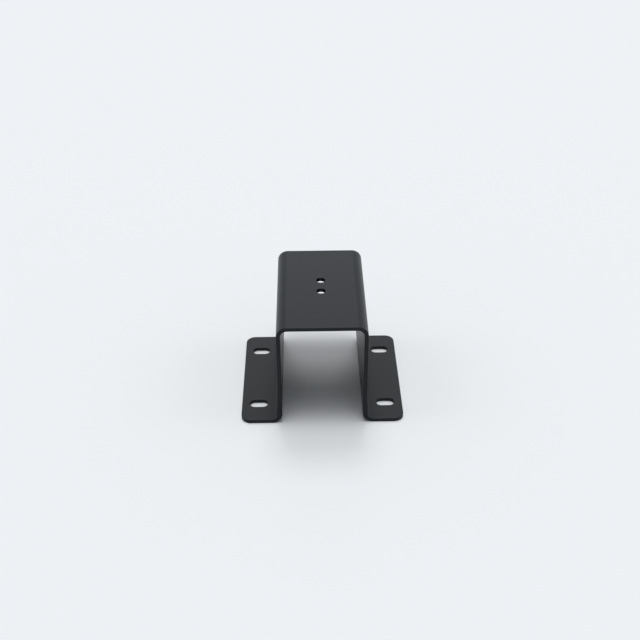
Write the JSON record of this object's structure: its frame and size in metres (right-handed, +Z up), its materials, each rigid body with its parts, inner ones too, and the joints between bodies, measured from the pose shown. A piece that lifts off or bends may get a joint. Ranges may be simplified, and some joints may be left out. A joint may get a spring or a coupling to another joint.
{
  "type": "u bracket",
  "caption": "U bracket folded from steel sheet: raised flat top drilled for screws, upright walls with an open channel between them, and outward flanges with fixing slots; matt black coat.",
  "frame": {"origin": "middle of the plane that both flanges stand on, under the middle of the top", "axes": "+X across the channel from flange to flange, +Y along the folds and through the channel, +Z up, out of the top face"},
  "size_m": [0.1, 0.09, 0.07],
  "materials": {
    "powder_coated_steel": "fine matt black powder coat with a low sheen"
  },
  "bodies": {
    "root": {"bracket": "powder_coated_steel"}
  },
  "joints": []
}
